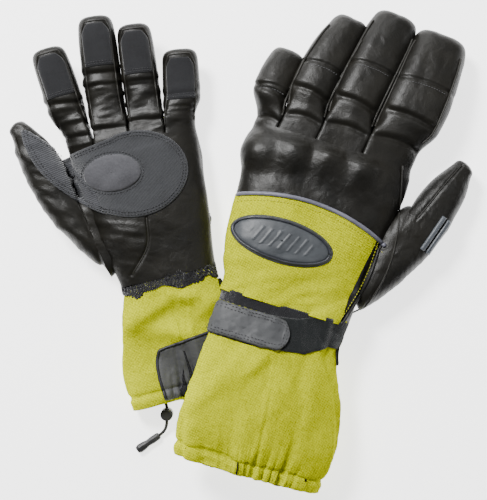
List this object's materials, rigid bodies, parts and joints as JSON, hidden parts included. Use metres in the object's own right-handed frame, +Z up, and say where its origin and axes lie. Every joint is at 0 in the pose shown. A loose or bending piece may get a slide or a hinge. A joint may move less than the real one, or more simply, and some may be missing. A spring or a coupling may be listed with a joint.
{
  "type": "insulated gauntlet gloves",
  "caption": "Pair of insulated leather gauntlet gloves with woven high-visibility cuffs, knuckle guard, wrist strap and drawcord hem.",
  "frame": {"origin": "middle of the bounding box, on the surface that the gloves lie on", "axes": "+Z up, +Y towards the fingertips as the pair is laid out, +X to the right, glove A palm up on the left, glove B back up on the right"},
  "size_m": [0.319, 0.3408, 0.0607],
  "materials": {
    "leather": "soft black cowhide, fine grain, low gloss",
    "suede": "grey synthetic suede, matt",
    "strap_leather": "grey pebbled leather, matt",
    "woven_textile": "coarse woven polyester, high-visibility yellow",
    "lining": "black brushed lining",
    "elastic": "black ruched elastic",
    "hook_and_loop": "black hook-and-loop tape",
    "cord": "black braided cord",
    "piping": "grey reflective piping",
    "badge_rubber": "moulded grey rubber, matt",
    "black_rubber": "moulded black rubber, satin",
    "wiper_rubber": "grey rubber strip",
    "guard_plastic": "moulded guard under the leather",
    "moulded_plastic": "moulded black plastic",
    "spring_steel": "steel wire"
  },
  "bodies": {
    "glove_a_main": {"glove_a_cuff": "woven_textile", "glove_a_cuff_lining": "lining", "glove_a_hem_channel": "woven_textile", "glove_a_wrist_elastic": "elastic", "glove_a_hand": "leather", "glove_a_palm_patch": "suede", "glove_a_palm_pad": "suede", "glove_a_back_panel": "woven_textile", "glove_a_piping": "piping", "glove_a_badge_rim": "black_rubber", "glove_a_badge": "badge_rubber", "glove_a_strap_loop_band": "hook_and_loop", "glove_a_knuckle_guard": "guard_plastic", "glove_a_cuff_patch": "strap_leather", "drawcord_tail": "cord", "cord_pull": "moulded_plastic"},
    "glove_a_index_finger": {"glove_a_index": "leather", "glove_a_index_tip_patch": "suede"},
    "glove_a_middle_finger": {"glove_a_middle": "leather", "glove_a_middle_tip_patch": "suede"},
    "glove_a_ring_finger": {"glove_a_ring": "leather", "glove_a_ring_tip_patch": "suede"},
    "glove_a_little_finger": {"glove_a_little": "leather", "glove_a_little_tip_patch": "suede"},
    "glove_a_thumb_digit": {"glove_a_thumb": "leather", "glove_a_thumb_patch": "suede", "glove_a_thumb_bar_1": "wiper_rubber", "glove_a_thumb_bar_2": "wiper_rubber"},
    "glove_a_strap": {"glove_a_strap_tab": "strap_leather", "glove_a_strap_hook": "hook_and_loop"},
    "glove_b_main": {"glove_b_cuff": "woven_textile", "glove_b_cuff_lining": "lining", "glove_b_hem_channel": "woven_textile", "glove_b_wrist_elastic": "elastic", "glove_b_hand": "leather", "glove_b_palm_patch": "suede", "glove_b_palm_pad": "suede", "glove_b_back_panel": "woven_textile", "glove_b_piping": "piping", "glove_b_badge_rim": "black_rubber", "glove_b_badge": "badge_rubber", "glove_b_strap_loop_band": "hook_and_loop", "glove_b_knuckle_guard": "guard_plastic"},
    "glove_b_index_finger": {"glove_b_index": "leather", "glove_b_index_tip_patch": "suede"},
    "glove_b_middle_finger": {"glove_b_middle": "leather", "glove_b_middle_tip_patch": "suede"},
    "glove_b_ring_finger": {"glove_b_ring": "leather", "glove_b_ring_tip_patch": "suede"},
    "glove_b_little_finger": {"glove_b_little": "leather", "glove_b_little_tip_patch": "suede"},
    "glove_b_thumb_digit": {"glove_b_thumb": "leather", "glove_b_thumb_patch": "suede", "glove_b_thumb_bar_1": "wiper_rubber", "glove_b_thumb_bar_2": "wiper_rubber"},
    "glove_b_strap": {"glove_b_strap_tab": "strap_leather", "glove_b_strap_hook": "hook_and_loop"},
    "cord_lock": {"cord_lock_body": "moulded_plastic", "cord_lock_spring": "spring_steel"},
    "cord_lock_press": {"cord_lock_button": "moulded_plastic"}
  },
  "joints": [
    {"name": "glove_b_lift", "type": "slide", "parent": "glove_a_main", "child": "glove_b_main", "axis": [0, 0, 1], "range_m": [0, 0.08]},
    {"name": "glove_a_index_bend", "type": "hinge", "parent": "glove_a_main", "child": "glove_a_index_finger", "pos_m": [-0.11575, 0.07222, 0.02881], "axis": [0.9744, 0.225, 0], "range_deg": [0, 30]},
    {"name": "glove_a_middle_bend", "type": "hinge", "parent": "glove_a_main", "child": "glove_a_middle_finger", "pos_m": [-0.09139, 0.07784, 0.02931], "axis": [0.9744, 0.225, 0], "range_deg": [0, 30]},
    {"name": "glove_a_ring_bend", "type": "hinge", "parent": "glove_a_main", "child": "glove_a_ring_finger", "pos_m": [-0.06655, 0.08358, 0.02931], "axis": [0.9744, 0.225, 0], "range_deg": [0, 30]},
    {"name": "glove_a_little_bend", "type": "hinge", "parent": "glove_a_main", "child": "glove_a_little_finger", "pos_m": [-0.04121, 0.08943, 0.02831], "axis": [0.9744, 0.225, 0], "range_deg": [0, 30]},
    {"name": "glove_a_thumb_bend", "type": "hinge", "parent": "glove_a_main", "child": "glove_a_thumb_digit", "pos_m": [-0.1088, 0.0221, 0.02631], "axis": [-0.3886, 0.9214, 0], "range_deg": [0, 25]},
    {"name": "glove_a_strap_peel", "type": "hinge", "parent": "glove_a_main", "child": "glove_a_strap", "pos_m": [-0.00853, -0.0264, 0.0153], "axis": [0.225, -0.9744, 0], "range_deg": [0, 110]},
    {"name": "glove_b_index_bend", "type": "hinge", "parent": "glove_b_main", "child": "glove_b_index_finger", "pos_m": [0.10552, 0.06659, 0.03551], "axis": [0.9563, -0.2924, 0], "range_deg": [0, 20]},
    {"name": "glove_b_middle_bend", "type": "hinge", "parent": "glove_b_main", "child": "glove_b_middle_finger", "pos_m": [0.0687, 0.07784, 0.03601], "axis": [0.9563, -0.2924, 0], "range_deg": [0, 20]},
    {"name": "glove_b_ring_bend", "type": "hinge", "parent": "glove_b_main", "child": "glove_b_ring_finger", "pos_m": [0.03953, 0.08676, 0.03551], "axis": [0.9563, -0.2924, 0], "range_deg": [0, 20]},
    {"name": "glove_b_little_bend", "type": "hinge", "parent": "glove_b_main", "child": "glove_b_little_finger", "pos_m": [0.01515, 0.09422, 0.03401], "axis": [0.9563, -0.2924, 0], "range_deg": [0, 20]},
    {"name": "glove_b_thumb_bend", "type": "hinge", "parent": "glove_b_main", "child": "glove_b_thumb_digit", "pos_m": [0.10119, -0.00571, 0.03101], "axis": [-0.4425, -0.8968, 0], "range_deg": [0, 18]},
    {"name": "glove_b_strap_peel", "type": "hinge", "parent": "glove_b_main", "child": "glove_b_strap", "pos_m": [-0.02323, -0.04274, 0.04502], "axis": [-0.2924, -0.9563, 0], "range_deg": [0, 110]},
    {"name": "cord_lock_slide", "type": "slide", "parent": "glove_a_main", "child": "cord_lock", "axis": [0, -1, 0], "range_m": [0, 0.003]},
    {"name": "cord_lock_button_press", "type": "slide", "parent": "cord_lock", "child": "cord_lock_press", "axis": [0, 0, -1], "range_m": [0, 0.0015], "stiffness_N_per_m": 400, "springref_m": -0.001, "deforming": ["cord_lock_spring"]}
  ]
}
